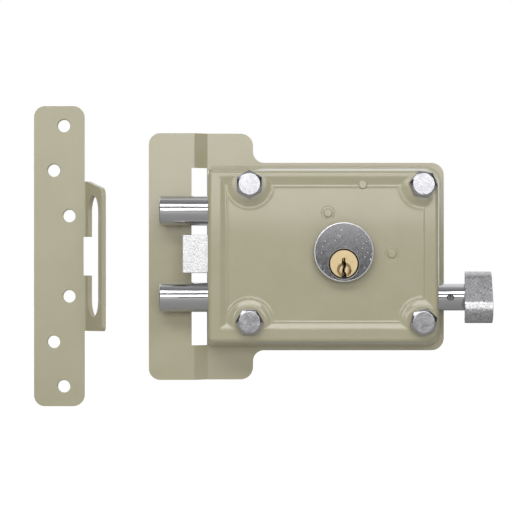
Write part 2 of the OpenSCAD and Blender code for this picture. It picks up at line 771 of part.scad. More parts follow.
// Strip that closes the pin bores
module chamber_cap() {
    color(brass) block([cyl_x - cap_w/2, first_pin_y - 2, cap_z0],
                       [cyl_x + cap_w/2, cyl_rear_y, cap_z1]);
}

// Ring nut that clamps the cylinder to the cover
module cylinder_nut() {
    color(steel) difference() {
        rod_y(inner_y, inner_y + nut_t, cyl_x, cyl_z, barrel_d + 2*head_rim);
        rod_y(inner_y - 1, inner_y + nut_t + 1, cyl_x, cyl_z, barrel_d);
        for (a = [45, 225]) translate([cyl_x, 0, cyl_z]) rotate([0, a, 0])
            block([barrel_d/2 + 0.8, inner_y + nut_t/2, -1.6],
                  [barrel_d, inner_y + nut_t + 1, 1.6]);
    }
}

plug_rear_y = cyl_rear_y + 1.3;
groove_y = cyl_rear_y + 0.15;
circlip_t = 0.6;

// Outline of the keyway, open at the foot of the plug
module keyway_outline() {
    polygon([
        [-0.75, 3.1], [0.75, 3.1], [0.75, 1.6], [1.15, 0.4], [1.15, -1.9], [0.5, -2.9],
        [0.5, -4], [1.3, -5], [1.5, -collar_d/2 - 1], [-1.1, -collar_d/2 - 1],
        [-1.1, -3.4], [-0.6, -2.2], [-0.6, -0.6], [-1.1, 0.2], [-1.1, 1.2]
    ]);
}

// Brass plug with its collar, keyway, pin bores and dished key entry
module cylinder_plug() {
    color(brass) difference() {
        union() {
            rod_y(plug_face_y, collar_y, cyl_x, plug_z, collar_d);
            rod_y(collar_y - touch, plug_rear_y, cyl_x, plug_z, plug_d);
        }
        translate([cyl_x, 0, plug_z]) slab(plug_face_y - 1, cyl_rear_y - 1.5)
            keyway_outline();
        translate([cyl_x + 0.2, plug_face_y - touch, plug_z - 3.2]) rotate([-90, 0, 0])
            cylinder(r1=3.9, r2=2.4, h=1.3);
        at_pins() rod_z(plug_z - 0.5, plug_z + plug_d, 0, 0, pin_d + 2*bore_gap);
        difference() {
            rod_y(groove_y, groove_y + circlip_t, cyl_x, plug_z, plug_d + 1);
            rod_y(groove_y - 1, groove_y + 1.5, cyl_x, plug_z, plug_d - 2);
        }
        block([cyl_x - spindle_w/2, cyl_rear_y - spindle_in, plug_z - spindle_w/2],
              [cyl_x + spindle_w/2, plug_rear_y + 1, plug_z + spindle_w/2]);
    }
}

// Retaining ring behind the cylinder
module plug_circlip() {
    color(steel) difference() {
        rod_y(groove_y, groove_y + circlip_t, cyl_x, plug_z, plug_d + 2.2);
        rod_y(groove_y - 1, groove_y + 1.5, cyl_x, plug_z, plug_d - 2);
        block([cyl_x - 2, groove_y - 1, plug_z - plug_d],
              [cyl_x + 2, groove_y + 1.5, plug_z - plug_d/2 + 2]);
    }
}

spindle_w = 3.6;

// Square spindle from the plug to the pinion
module tail_spindle() {
    color(steel) block([cyl_x - spindle_w/2, cyl_rear_y - spindle_in, plug_z - spindle_w/2],
                       [cyl_x + spindle_w/2, carriage_y1 - 1, plug_z + spindle_w/2]);
}

// Half outline of one pinion tooth, straight sided to roll on the rack
function tooth_points(a) =
    let (
        tip_r = pitch_r + gear_module*0.95,
        root_r = pitch_r - gear_module*1.15,
        mid = 360/pinion_teeth/4 - tooth_play/2/pitch_r*180/PI/2
    )
    [
        [root_r*cos(a - mid*1.5), root_r*sin(a - mid*1.5)],
        [pitch_r*0.94*cos(a - mid*1.18), pitch_r*0.94*sin(a - mid*1.18)],
        [pitch_r*cos(a - mid), pitch_r*sin(a - mid)],
        [(pitch_r*1.1)*cos(a - mid*0.66), (pitch_r*1.1)*sin(a - mid*0.66)],
        [tip_r*cos(a - mid*0.22), tip_r*sin(a - mid*0.22)],
        [tip_r*cos(a + mid*0.22), tip_r*sin(a + mid*0.22)],
        [(pitch_r*1.1)*cos(a + mid*0.66), (pitch_r*1.1)*sin(a + mid*0.66)],
        [pitch_r*cos(a + mid), pitch_r*sin(a + mid)],
        [pitch_r*0.94*cos(a + mid*1.18), pitch_r*0.94*sin(a + mid*1.18)],
        [root_r*cos(a + mid*1.5), root_r*sin(a + mid*1.5)]
    ];

// Pinion on the spindle, in mesh with the rack below it
module drive_pinion() {
    step = 360/pinion_teeth;
    color(steel) difference() {
        translate([cyl_x, 0, plug_z]) slab(carriage_y0 + 0.1, carriage_y1 - 0.1)
            polygon([for (i = [0:pinion_teeth - 1], p = tooth_points(-90 + step/2 + i*step)) p]);
        block([cyl_x - spindle_w/2, carriage_y0 - 1, plug_z - spindle_w/2],
              [cyl_x + spindle_w/2, carriage_y1 + 1, plug_z + spindle_w/2]);
    }
}

pin_top = plug_d/2 - 0.25;
key_cuts = [0.4, 1.2, 0, 0.9, 0.6];
driver_len = 4;

// Pins in the plug, at the height they have with the key in
module key_pins() {
    color(brass) for (i = [0:pin_count - 1])
        translate([cyl_x, first_pin_y + i*pin_pitch, plug_z]) {
            foot = 0.2 + key_cuts[i];
            translate([0, 0, foot + 0.8]) cylinder(d=pin_d, h=pin_top - foot - 0.8);
            translate([0, 0, foot]) cylinder(d1=pin_d*0.45, d2=pin_d, h=0.8 + touch);
        }
}

// Pins in the body, above the shear line
module driver_pins() {
    color(steel) at_pins()
        rod_z(plug_z + shear_r + 0.15, plug_z + shear_r + 0.15 + driver_len, 0, 0, pin_d);
}

// Small springs between the driver pins and the cap
module pin_springs() {
    color(steel) at_pins() difference() {
        rod_z(plug_z + shear_r + 0.15 + driver_len, cap_z0, 0, 0, pin_d - 0.3);
        rod_z(plug_z, cap_z1 + 1, 0, 0, pin_d - 1.1);
    }
}

// Outline of the strike tab, from just above its foot
module tab_outline() {
    half = tab_w/2;
    polygon([
        [-1, -half - 0.1], [1.5, -half - 0.1], [1.6, -half],
        [tab_len - 2.4, -half + 1], [tab_len - 0.7, -half + 1.7],
        [tab_len, -half + 3.4], [tab_len, half - tab_slope - 4.6],
        [tab_len - 1.1, half - tab_slope - 1.9], [tab_len - 3.6, half - tab_slope + 0.3],
        [3.2, half - 0.3], [1.5, half + 0.1], [-1, half + 0.1]
    ]);
}

// Outline of the slot that the deadbolts enter
module slot_outline() {
    slot_w = (deadbolt_d + 2*strike_gap + strike_t*sin(tab_lean))/cos(tab_lean);
    foot_y = -strike_t - bend_r*(1 - sin(tab_lean));
    slot_u = (foot_y + strike_t/2*sin(tab_lean) - bolt_y)/cos(tab_lean);
    translate([slot_u - slot_w/2, -deadbolt_pitch/2]) square([slot_w, deadbolt_pitch]);
    for (end = [-1, 1]) translate([slot_u, end*deadbolt_pitch/2]) circle(d=slot_w);
}

strike_holes = [
    [16.3, 71], [10.8, 46.7], [19.2, 21.9], [19.2, -21.9], [10.8, -46.7], [16.3, -71]
];

// Move into the plane of the tab: X out from its foot, Z along it
module at_tab() {
    translate([strike_x1 + bend_r*cos(tab_lean), -strike_t - bend_r*(1 - sin(tab_lean)), strike_z])
        rotate([0, 0, tab_lean - 90]) children();
}

// Points along the bend at one radius
function bend_arc(r, a0, a1) =
    [for (i = [0:12])
        let (a = a0 + (a1 - a0)*i/12)
        [strike_x1 + r*cos(a), -strike_t - bend_r + r*sin(a)]];

// Section of the strike: edge of the plate, bend and leaning tab in one outline
module bend_section() {
    out_r = bend_r + strike_t;
    reach = [tab_len*sin(tab_lean), -tab_len*cos(tab_lean)];
    outer = bend_arc(out_r, 90, tab_lean);
    inner = bend_arc(bend_r, tab_lean, 90);
    polygon(concat([[strike_x1 - strike_r - 1, 0]], outer,
                   [outer[12] + reach, inner[0] + reach], inner,
                   [[strike_x1 - strike_r - 1, -strike_t]]));
}

// Strike for the door frame: flat plate, bend and leaning tab with the bolt slot
module strike_plate() {
    notch = latch_h/2 + strike_gap;
    color(beige) difference() {
        union() {
            slab(-strike_t, 0) round_rect(strike_x0, strike_x1, strike_z - strike_h/2,
                                          strike_z + strike_h/2, strike_r, strike_r);
            upright(strike_z - tab_w/2, strike_z + tab_w/2) bend_section();
        }
        at_tab() slab(-1, strike_t + 1) difference() {
            translate([0.05, -tab_w/2 - 1]) square([tab_len + 5, tab_w + 2]);
            tab_outline();
        }
        at_tab() slab(-1, strike_t + 1) slot_outline();
        block([strike_x1 - 0.6, -strike_t - 8, strike_z - notch],
              [strike_x1 + bend_r + strike_t + 2, 1, strike_z + notch]);
        for (h = strike_holes) translate([strike_x0 + h[0], 0, strike_z + h[1]]) {
            rod_y(-strike_t - 1, 1, 0, 0, screw_hole_d);
            translate([0, -strike_t + 0.5, 0]) rotate([90, 0, 0])
                cylinder(d1=screw_hole_d, d2=screw_hole_d + 1.1, h=0.6);
        }
    }
}

base_plate();
cover();
case_posts();
hex_bolts();
bolt_guide();
guide_screws();
stem_guide();
strike_plate();
deadbolt_upper();
deadbolt_lower();
bolt_carriage();
carriage_pins();
latch_bolt();
latch_tail();
latch_rivets();
latch_spring();
spring_bracket();
pull_knob();
draw_rod();
roll_pin();
cylinder_body();
cylinder_nut();
cylinder_plug();
plug_circlip();
tail_spindle();
drive_pinion();
key_pins();
driver_pins();
pin_springs();
chamber_cap();
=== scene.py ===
"""Rim lock with its strike plate: painted pressings, chromed bolts and knob, brass plug."""
import json
import math

import bpy
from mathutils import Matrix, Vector


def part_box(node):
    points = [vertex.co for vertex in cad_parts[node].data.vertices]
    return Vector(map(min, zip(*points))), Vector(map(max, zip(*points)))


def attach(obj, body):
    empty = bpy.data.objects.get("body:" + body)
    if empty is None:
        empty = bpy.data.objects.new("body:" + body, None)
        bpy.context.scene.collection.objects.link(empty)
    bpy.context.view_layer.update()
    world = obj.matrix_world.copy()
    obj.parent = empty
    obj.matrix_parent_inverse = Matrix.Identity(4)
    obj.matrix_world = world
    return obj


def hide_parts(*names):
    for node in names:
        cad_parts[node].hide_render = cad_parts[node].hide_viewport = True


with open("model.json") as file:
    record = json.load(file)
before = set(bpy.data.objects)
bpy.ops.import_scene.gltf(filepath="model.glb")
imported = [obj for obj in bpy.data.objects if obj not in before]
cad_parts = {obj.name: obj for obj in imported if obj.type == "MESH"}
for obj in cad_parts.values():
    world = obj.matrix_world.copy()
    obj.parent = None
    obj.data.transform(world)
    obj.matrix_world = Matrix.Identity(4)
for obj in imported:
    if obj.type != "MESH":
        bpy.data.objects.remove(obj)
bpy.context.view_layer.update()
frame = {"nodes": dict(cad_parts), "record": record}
MM = 0.001


# Base plate: 2 mm sheet steel, blanked, set forward beside the bolts and powder coated
# grey beige. The window lets the strike's tab through. It is bolted flat on the door.
plate_low, plate_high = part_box("base_plate")
cover_low, cover_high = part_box("cover")
sheet_t = 2 * MM
flange_jog = 3.5 * MM
plate_margin = 1.8 * MM
ear_x = plate_low.x + 56.6 * MM
ear_r, ear_fillet_r, blank_r = 6.8 * MM, 6 * MM, 6.2 * MM
fold_r, plate_edge = 0.6 * MM, 0.25 * MM
ramp_x1 = cover_low.x + 0.2 * MM
ramp_x0 = ramp_x1 - 7.5 * MM
window_x0, window_x1 = cover_low.x - 8.6 * MM, cover_low.x - 0.3 * MM
window_h = 96.4 * MM
case_mid_z = (cover_low.z + cover_high.z) / 2
mount_x, mount_z = 46 * MM, 36.4 * MM
stud_hole_r = 4.3 * MM
tail_hole_x, tail_hole_z, tail_hole_r = 3.8 * MM, -5.6 * MM, 6 * MM
mounts = [(x, z) for x in (-mount_x, mount_x) for z in (-mount_z, mount_z)]


def colour(code):
    """Linear colour of an sRGB code such as B5AF97."""
    part = [int(code[i:i + 2], 16) / 255 for i in (0, 2, 4)]
    return [c / 12.92 if c < 0.04045 else ((c + 0.055) / 1.055) ** 2.4 for c in part] + [1]


def name_piece(name):
    """Name the new object, put its place into its mesh and give it back."""
    piece = bpy.context.object
    piece.name = piece.data.name = name
    bpy.ops.object.transform_apply(location=True, rotation=True, scale=True)
    return piece


def box(name, low, high):
    """A block between two corners."""
    bpy.ops.object.select_all(action="DESELECT")
    low, high = Vector(low), Vector(high)
    bpy.ops.mesh.primitive_cube_add(size=1, location=(low + high) / 2)
    bpy.context.object.scale = high - low
    return name_piece(name)


def rod(name, start, length, radius, axis="Y", sides=64, end_radius=None):
    """A round bar from a start point along an axis, or a cone with another end radius."""
    bpy.ops.object.select_all(action="DESELECT")
    way = {"X": Vector((1, 0, 0)), "Y": Vector((0, 1, 0)), "Z": Vector((0, 0, 1))}[axis]
    turn = {"X": (0, math.pi / 2, 0), "Y": (-math.pi / 2, 0, 0), "Z": (0, 0, 0)}[axis]
    bpy.ops.mesh.primitive_cone_add(
        vertices=sides, radius1=radius, depth=length, rotation=turn,
        radius2=radius if end_radius is None else end_radius,
        location=Vector(start) + way * length / 2)
    return name_piece(name)


def only(piece):
    """Make one piece the selected and active one."""
    bpy.ops.object.select_all(action="DESELECT")
    piece.select_set(True)
    bpy.context.view_layer.objects.active = piece


def pick(piece, test, kind="VERT"):
    """Enter edit mode with the points, edges or faces selected that test accepts."""
    only(piece)
    bpy.ops.object.mode_set(mode="EDIT")
    bpy.ops.mesh.select_mode(type=kind)
    bpy.ops.mesh.select_all(action="DESELECT")
    bpy.ops.object.mode_set(mode="OBJECT")
    mesh = piece.data
    spot = [v.co for v in mesh.vertices]
    if kind == "VERT":
        for v in mesh.vertices:
            v.select = bool(test(v.co))
    elif kind == "EDGE":
        for e in mesh.edges:
            e.select = bool(test(spot[e.vertices[0]], spot[e.vertices[1]]))
    else:
        for f in mesh.polygons:
            f.select = bool(test(f.center, f.normal))
    bpy.ops.object.mode_set(mode="EDIT")


def done():
    """Leave edit mode."""
    bpy.ops.object.mode_set(mode="OBJECT")


def combine(piece, tool, how="DIFFERENCE"):
    """Cut a piece with a tool, or join or trim it, and remove the tool."""
    only(piece)
    step = piece.modifiers.new(how.title(), "BOOLEAN")
    step.operation, step.object, step.solver = how, tool, "EXACT"
    bpy.ops.object.modifier_apply(modifier=step.name)
    bpy.data.objects.remove(tool)


def join(name, *parts):
    """Several pieces as one object."""
    only(parts[0])
    for part in parts:
        part.select_set(True)
    bpy.ops.object.join()
    parts[0].name = parts[0].data.name = name
    return parts[0]


def soften(piece, width, segments=2, angle=35):
    """Break the sharp edges by a small radius and shade the rest smooth."""
    only(piece)
    step = piece.modifiers.new("Edges", "BEVEL")
    step.width, step.segments, step.limit_method = width, segments, "ANGLE"
    step.angle_limit = math.radians(angle)
    bpy.ops.object.modifier_apply(modifier=step.name)
    bpy.ops.object.shade_smooth_by_angle(angle=math.radians(angle))
    flat = piece.modifiers.new("Flat faces", "WEIGHTED_NORMAL")
    flat.keep_sharp = True
    bpy.ops.object.modifier_apply(modifier=flat.name)


def round_corner(piece, x, z, radius, segments=10):
    """Round the upright corner of a flat blank at one place."""
    near = 0.2 * MM
    pick(piece, lambda a, b: abs(a.x - x) < near and abs(b.x - x) < near
         and abs(a.z - z) < near and abs(b.z - z) < near, "EDGE")
    bpy.ops.mesh.bevel(offset=radius, segments=segments, affect="EDGES")
    done()


def slice_at(piece, spot, normal):
    """Cut new edges through a whole piece along a plane."""
    only(piece)
    bpy.ops.object.mode_set(mode="EDIT")
    bpy.ops.mesh.select_all(action="SELECT")
    bpy.ops.mesh.bisect(plane_co=spot, plane_no=normal)
    done()


def add(tree, kind, *links, **values):
    """Add a shader node with its values and its links as (socket, source output)."""
    node = tree.nodes.new("ShaderNode" + kind)
    for key, value in values.items():
        if hasattr(node, key):
            setattr(node, key, value)
        else:
            node.inputs[key.replace("_", " ")].default_value = value
    for socket, source in links:
        tree.links.new(source, node.inputs[socket])
    return node


def new_material(name):
    """An empty material with its surface shader and object coordinates."""
    made = bpy.data.materials.new(name)
    made.use_nodes = True
    tree = made.node_tree
    tree.nodes.clear()
    shader = add(tree, "BsdfPrincipled")
    add(tree, "OutputMaterial", ("Surface", shader.outputs["BSDF"]))
    place = add(tree, "TexCoord").outputs["Object"]
    return made, tree, shader, place


def blotches(tree, place, scale, low, high, detail=4, stretch=(1, 1, 1)):
    """Noise between two values, scale in patches per metre."""
    mapped = add(tree, "Mapping", ("Vector", place), Scale=stretch)
    noise = add(tree, "TexNoise", ("Vector", mapped.outputs[0]), Scale=scale, Detail=detail)
    spread = add(tree, "MapRange", ("Value", noise.outputs[0]))
    for key, value in (("From Min", 0.3), ("From Max", 0.7), ("To Min", low), ("To Max", high)):
        spread.inputs[key].default_value = value
    return spread.outputs[0]


def bumps(tree, shader, height, strength, depth):
    """Drive the surface normal from a height."""
    bump = add(tree, "Bump", ("Height", height), Strength=strength, Distance=depth)
    tree.links.new(bump.outputs[0], shader.inputs["Normal"])
    return bump


def powder_coat(name, haze):
    """Glossy grey-beige powder coat with its fine orange peel."""
    made, tree, shader, place = new_material(name)
    tone = blotches(tree, place, 60, 0, 1)
    mix = add(tree, "Mix", ("Factor", tone), data_type="RGBA")
    mix.inputs[6].default_value = colour("B4AF91")
    mix.inputs[7].default_value = colour("B9B397")
    tree.links.new(mix.outputs[2], shader.inputs["Base Color"])
    tree.links.new(blotches(tree, place, 240, 0.30, 0.38), shader.inputs["Roughness"])
    shader.inputs["Coat Weight"].default_value = 1
    shader.inputs["Coat Roughness"].default_value = haze
    bumps(tree, shader, blotches(tree, place, 620, 0, 1, 1), 0.5, 0.026 * MM)
    return made


def finish_piece(piece, material, slot, body, *nodes):
    """Give a piece its material, and say what it rides on and replaces. The slot is not used."""
    piece.data.materials.clear()
    piece.data.materials.append(material)
    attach(piece, body)
    if nodes:
        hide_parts(*nodes)


coat = powder_coat("powder_coat_grey_beige", 0.08)

base = box("base_plate_pressing", (plate_low.x, -sheet_t, plate_low.z),
           (plate_high.x, 0, plate_high.z))
low_z, high_z = cover_low.z - plate_margin, cover_high.z + plate_margin
beyond = 5 * MM
for z0, z1 in ((plate_low.z - beyond, low_z), (high_z, plate_high.z + beyond)):
    combine(base, box("waste", (ear_x, -beyond, z0), (plate_high.x + beyond, beyond, z1)))
for z in (plate_low.z, plate_high.z):
    round_corner(base, plate_low.x, z, blank_r)
    round_corner(base, ear_x, z, ear_r)
for z in (low_z, high_z):
    round_corner(base, ear_x, z, ear_fillet_r)
    round_corner(base, plate_high.x, z, ear_r)
for x in (ramp_x0, ramp_x1):
    slice_at(base, (x, 0, 0), (1, 0, 0))
pick(base, lambda p: p.x < ramp_x0 + 0.1 * MM)
bpy.ops.transform.translate(value=(0, -flange_jog, 0))
done()
for x in (ramp_x0, ramp_x1):
    pick(base, lambda a, b: abs(a.x - x) < 0.1 * MM and abs(b.x - x) < 0.1 * MM
         and abs(a.y - b.y) < 0.1 * MM and abs(a.z - b.z) > MM, "EDGE")
    bpy.ops.mesh.bevel(offset=fold_r, segments=4, affect="EDGES")
    done()
combine(base, box("window", (window_x0, -2 * beyond, case_mid_z - window_h / 2),
                  (window_x1, beyond, case_mid_z + window_h / 2)))
for x, z in mounts:
    combine(base, rod("hole", (x, -beyond, z), 2 * beyond, stud_hole_r, sides=32))
combine(base, rod("hole", (tail_hole_x, -beyond, tail_hole_z), 2 * beyond, tail_hole_r))
soften(base, plate_edge)
finish_piece(base, coat, "painted_steel", "case", "base_plate")


# Cover: 1.5 mm sheet drawn into a tray over a die, with leaning walls, a rounded front
# edge and a sunken panel that leaves raised pads under the bolt heads. Same coat.
rim_y = cover_low.y
foot_y = cover_high.y
case_depth = foot_y - rim_y
cover_t = 1.5 * MM
wall_draft, left_lean = 3.9 * MM, 0.9 * MM
edge_r, corner_r = 2.6 * MM, 8.4 * MM
panel_sink, ridge_h = 1.2 * MM, 0.28 * MM
slope_left, slope_right, slope_top, slope_bottom = 3.9 * MM, 4.6 * MM, 4.8 * MM, 3.3 * MM
pad_slope = 3.7 * MM
panel_x0, panel_x1 = -mount_x - 16.1 * MM, mount_x + 5.7 * MM
panel_z0, panel_z1 = -mount_z - 3.9 * MM, mount_z + 4.5 * MM
pad_r = 8.4 * MM
corner_steps, side_steps = 10, (120, 160)
cylinder_x, cylinder_z = 3.8 * MM, 0.6 * MM
barrel_r = 14.2 * MM
post_places = [(14.2 * MM, 36.4 * MM), (-4.3 * MM, 21.3 * MM), (29.7 * MM, -0.3 * MM)]


def outline(inset, lean, turned_in):
    """Points round the tray at one level of the die."""
    x0 = cover_low.x + left_lean * lean + turned_in + inset
    x1 = cover_high.x - wall_draft * lean - turned_in - inset
    z0 = cover_low.z + wall_draft * lean + turned_in + inset
    z1 = cover_high.z - wall_draft * lean - turned_in - inset
    small = max(edge_r + 0.4 * MM - turned_in - inset, 0.05 * MM)
    large = max(corner_r - turned_in - inset, 0.05 * MM)
    corners = [(x1 - large, z0 + large, large, -90), (x1 - large, z1 - large, large, 0),
               (x0 + small, z1 - small, small, 90), (x0 + small, z0 + small, small, 180)]
    points = []
    for n, (x, z, r, first) in enumerate(corners):
        for i in range(corner_steps + 1):
            a = math.radians(first + 90 * i / corner_steps)
            points.append(Vector((x + r * math.cos(a), 0, z + r * math.sin(a))))
        x, z, r, first = corners[(n + 1) % 4]
        a = math.radians(first)
        start, end = points[-1], Vector((x + r * math.cos(a), 0, z + r * math.sin(a)))
        steps = side_steps[n % 2]
        points += [start.lerp(end, i / steps) for i in range(1, steps)]
    return points


def rounded_step(t, soft=0.3):
    """From 0 to 1 along a straight slope with rounded ends."""
    t = min(max(t, 0), 1)
    low = min(t, soft)
    high = max(t - (1 - soft), 0)
    rise = low * low / 2 / soft + min(max(t - soft, 0), 1 - 2 * soft)
    rise += high - high * high / 2 / soft if t > 1 - soft else 0
    return rise / (1 - soft)


def pressed_depth(x, z):
    """How far the die has pushed the front in at one place, with a fine ridge at the foot."""
    slopes = [(x - panel_x0) / slope_left, (panel_x1 - x) / slope_right,
              (panel_z1 - z) / slope_top, (z - panel_z0) / slope_bottom]
    slopes += [(math.hypot(x - mx, z - mz) - pad_r) / pad_slope for mx, mz in mounts]
    down = min(slopes)
    ridge = max(1 - ((down - 1.13) / 0.17) ** 2, 0) ** 2
    return panel_sink * rounded_step(down, 0.2) - ridge_h * ridge


def die_levels():
    """Levels from the foot of the wall, over the round edge and in over the front."""
    lean = math.atan2(wall_draft, case_depth)
    turn_y = rim_y + edge_r * (1 - math.sin(lean))
    full = (foot_y - turn_y) / case_depth
    levels = [outline(0, full * i / 3, 0) for i in range(3)]
    heights = [foot_y + (turn_y - foot_y) * i / 3 for i in range(3)]
    for i in range(9):
        a = lean + (math.pi / 2 - lean) * i / 8
        levels.append(outline(0, full, edge_r * (math.cos(lean) - math.cos(a))))
        heights.append(rim_y + edge_r * (1 - math.sin(a)))
    in_steps = [0.4 * MM * i for i in range(1, 26)] + [10 * MM + 0.55 * MM * i for i in range(1, 24)]
    for inset in in_steps:
        levels.append(outline(inset, full, edge_r * math.cos(lean)))
        heights.append(rim_y)
    return levels, heights


levels, heights = die_levels()
bpy.ops.object.select_all(action="DESELECT")
bpy.ops.mesh.primitive_grid_add(x_subdivisions=len(levels[0]), y_subdivisions=len(levels) - 1)
cover = bpy.context.object
cover.name = cover.data.name = "drawn_cover"
columns = len(levels[0]) + 1
for n, point in enumerate(cover.data.vertices):
    row, column = divmod(n, columns)
    spot = levels[row][column % len(levels[0])]
    down = pressed_depth(spot.x, spot.z) if heights[row] == rim_y else 0
    point.co = (spot.x, heights[row] + down, spot.z)
only(cover)
bpy.ops.object.mode_set(mode="EDIT")
bpy.ops.mesh.select_all(action="SELECT")
bpy.ops.mesh.remove_doubles(threshold=0.005 * MM)
done()
pick(cover, lambda a, b: False, "EDGE")
bpy.ops.mesh.select_non_manifold(extend=False)
done()
for edge in cover.data.edges:
    a, b = (cover.data.vertices[i].co for i in edge.vertices)
    if a.y > rim_y + 3 * MM or b.y > rim_y + 3 * MM:
        edge.select = False
bpy.ops.object.mode_set(mode="EDIT")
bpy.ops.mesh.edge_face_add()
bpy.ops.mesh.select_all(action="SELECT")
bpy.ops.mesh.normals_make_consistent(inside=False)
done()
front = max(cover.data.polygons, key=lambda f: f.area)
if front.normal.y > 0:
    pick(cover, lambda c, n: True, "FACE")
    bpy.ops.mesh.flip_normals()
    done()
only(cover)
wall = cover.modifiers.new("Sheet", "SOLIDIFY")
wall.thickness, wall.offset, wall.use_even_offset = cover_t, -1, True
bpy.ops.object.modifier_apply(modifier=wall.name)

upper_low, upper_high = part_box("deadbolt_upper")
lower_low, lower_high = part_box("deadbolt_lower")
latch_low, latch_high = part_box("latch_bolt")
bolt_r = (upper_high.z - upper_low.z) / 2
bolt_y = (upper_high.y + upper_low.y) / 2
upper_z = (upper_high.z + upper_low.z) / 2
lower_z = (lower_high.z + lower_low.z) / 2
slide_gap = 0.3 * MM
neck_r = 7.2 * MM
for z in (upper_z, lower_z):
    combine(cover, rod("hole", (cover_low.x - beyond, bolt_y, z), 3 * beyond,
                       bolt_r + slide_gap, "X"))
combine(cover, box("hole", (cover_low.x - beyond, latch_low.y - slide_gap, latch_low.z - slide_gap),
                   (cover_low.x + beyond, latch_high.y + slide_gap, latch_high.z + slide_gap)))
combine(cover, rod("hole", (cover_high.x - 3 * beyond, bolt_y, lower_z), 4 * beyond,
                   neck_r + slide_gap, "X"))
combine(cover, rod("hole", (cylinder_x, rim_y - beyond, cylinder_z), 3 * beyond,
                   barrel_r + 0.1 * MM, sides=96))
for x, z in mounts:
    combine(cover, rod("hole", (x, rim_y - beyond, z), 3 * beyond, stud_hole_r, sides=32))
ring_r, ring_wire = 3.5 * MM, 0.35 * MM
for x, z in post_places[1:]:
    bpy.ops.object.select_all(action="DESELECT")
    bpy.ops.mesh.primitive_torus_add(
        major_radius=ring_r, minor_radius=ring_wire, major_segments=40, minor_segments=8,
        location=(x, rim_y + panel_sink - 0.12 * MM, z), rotation=(math.pi / 2, 0, 0))
    combine(cover, name_piece("groove"))
only(cover)
bpy.ops.object.shade_smooth_by_angle(angle=math.radians(28))
finish_piece(cover, coat, "painted_steel", "case", "cover")


# Posts: shouldered steel pins riveted through plate and cover before painting. Only their
# rounded ends show, as small bumps on the panel.
def from_frame(name, node):
    """A merged copy of a CAD node's mesh as a new piece."""
    piece = bpy.data.objects.new(name, frame["nodes"][node].data.copy())
    bpy.context.scene.collection.objects.link(piece)
    only(piece)
    bpy.ops.object.mode_set(mode="EDIT")
    bpy.ops.mesh.select_all(action="SELECT")
    bpy.ops.mesh.remove_doubles(threshold=0.002 * MM)
    bpy.ops.mesh.dissolve_limited(angle_limit=math.radians(0.5))
    done()
    return piece


posts = from_frame("riveted_posts", "case_posts")
soften(posts, 0.35 * MM, 3)
finish_piece(posts, coat, "painted_steel", "case", "case_posts")


# Mounting bolts: hexagon head machine bolts, chromed, their corners turned off in a cone.
# Each was tightened to its own turn. The ends that go through the door are threaded.
hex_flats = 13 * MM
hex_h = 5.3 * MM
corner_trim, trim_slope = 0.9 * MM, 1.75
shank_r, shank_len = 3.95 * MM, 40 * MM
hex_turns = {(-1, -1): 0, (-1, 1): 30, (1, -1): 17.6, (1, 1): 51}


def chrome(name, code, rough, depth, grain=(1, 1, 1), mottle=None, scale=1800):
    """Chrome plate with hazy patches and fine marks; on castings also a mottled skin."""
    made, tree, shader, place = new_material(name)
    shader.inputs["Metallic"].default_value = 1
    shader.inputs["Base Color"].default_value = colour(code)
    tree.links.new(blotches(tree, place, 300, rough[0], rough[1], 6, grain),
                   shader.inputs["Roughness"])
    marks = blotches(tree, place, scale, 0, 1, 6, grain)
    if mottle:
        mix = add(tree, "Mix", ("Factor", marks), data_type="RGBA")
        mix.inputs[6].default_value = colour(mottle)
        mix.inputs[7].default_value = colour(code)
        tree.links.new(mix.outputs[2], shader.inputs["Base Color"])
    bumps(tree, shader, marks, 0.6 if mottle else 0.2, depth)
    return made


bright = chrome("bright_chrome_plate", "C2C2C6", (0.16, 0.3), 0.02 * MM, mottle="AEAEB2",
                scale=1500)
thread, tree, shader, place = new_material("rolled_thread")
shader.inputs["Metallic"].default_value = 1
shader.inputs["Base Color"].default_value = colour("A6A6AA")
shader.inputs["Roughness"].default_value = 0.3
turns_per_metre = 800
ridges = add(tree, "TexWave", ("Vector", place), wave_type="BANDS", bands_direction="Y",
             Scale=turns_per_metre * math.pi / 10)
bumps(tree, shader, ridges.outputs[1], 1.0, 0.5 * MM)

head = rod("head", (0, rim_y - hex_h, 0), hex_h, hex_flats / math.sqrt(3), sides=6)
top_r = hex_flats / 2 - corner_trim
trim = rod("trim", (0, rim_y - hex_h, 0), hex_h * 1.1, top_r, sides=72,
           end_radius=top_r + trim_slope * hex_h * 1.1)
combine(head, trim, "INTERSECT")
soften(head, 0.18 * MM, 2, 20)
shank = rod("shank", (0, rim_y, 0), shank_len, shank_r, sides=48)
soften(shank, 0.5 * MM, 1)
for metal in (bright, thread):
    head.data.materials.append(metal)
    shank.data.materials.append(metal)
for face in shank.data.polygons:
    face.material_index = 1 if abs(face.normal.y) < 0.9 else 0
first_bolt = join("bolt", head, shank)

made_bolts = []
for (side, rise), turn in hex_turns.items():
    bolt = first_bolt.copy()
    bolt.data = first_bolt.data.copy()
    bpy.context.scene.collection.objects.link(bolt)
    bolt.location = (side * mount_x, 0, rise * mount_z)
    bolt.rotation_euler.y = -math.radians(turn + 30)
    only(bolt)
    bpy.ops.object.transform_apply(location=True, rotation=True)
    made_bolts.append(bolt)
bpy.data.objects.remove(first_bolt)
hex_bolts = join("hexagon_bolts", *made_bolts)
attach(hex_bolts, "case")
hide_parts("hex_bolts")


# Deadbolts: ground steel bars, chromed, with a small turned chamfer on the end. The latch
# between them is a chromed casting, rough on its face and sloped at the back.
drawn = chrome("chromed_bar", "C6C6C9", (0.05, 0.16), 0.04 * MM, (0.05, 1, 1))
cast = chrome("chromed_casting", "E6E6E7", (0.24, 0.38), 0.09 * MM, mottle="8C8C90", scale=1500)
bright_cast = chrome("bright_chromed_casting", "F6F6F6", (0.34, 0.44), 0.12 * MM,
                     mottle="C4C4C6", scale=1300)

